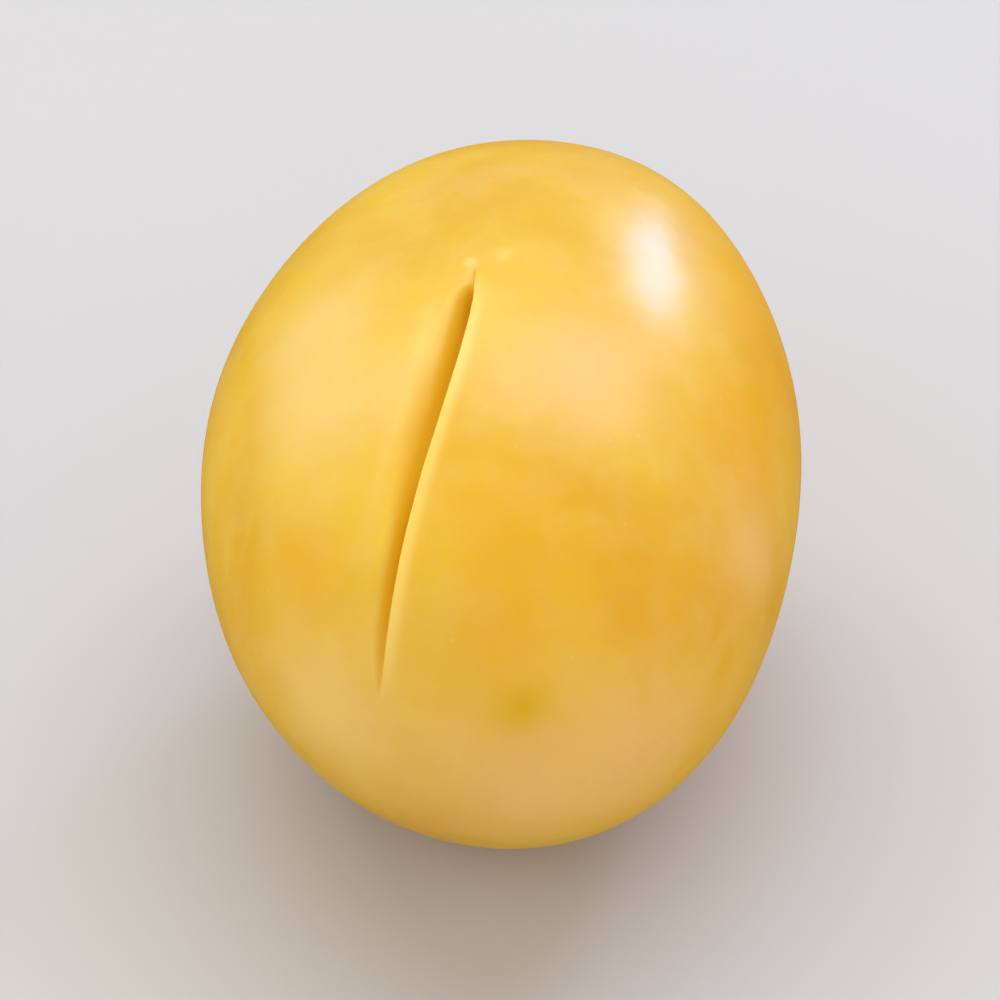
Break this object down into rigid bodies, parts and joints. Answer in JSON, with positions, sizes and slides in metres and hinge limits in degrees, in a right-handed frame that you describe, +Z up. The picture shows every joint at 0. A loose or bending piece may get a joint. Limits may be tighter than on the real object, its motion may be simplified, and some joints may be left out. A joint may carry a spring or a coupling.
{
  "type": "green olive",
  "caption": "Whole green table olive with a hollow at the stem end, a small mark at the tip and a knife cut along one side, lying on a small flat spot.",
  "frame": {"origin": "middle of the olive's box, on the surface that it rests on", "axes": "+Y along the fruit's long axis towards the stem end, +Z up, +X to the right seen from the tip"},
  "size_m": [0.018, 0.025, 0.0176],
  "materials": {
    "olive_skin": "moist, softly glossy, golden yellow-green skin of a cured olive, with pale specks and a dark amber cut"
  },
  "bodies": {
    "root": {"olive": "olive_skin"}
  },
  "joints": []
}
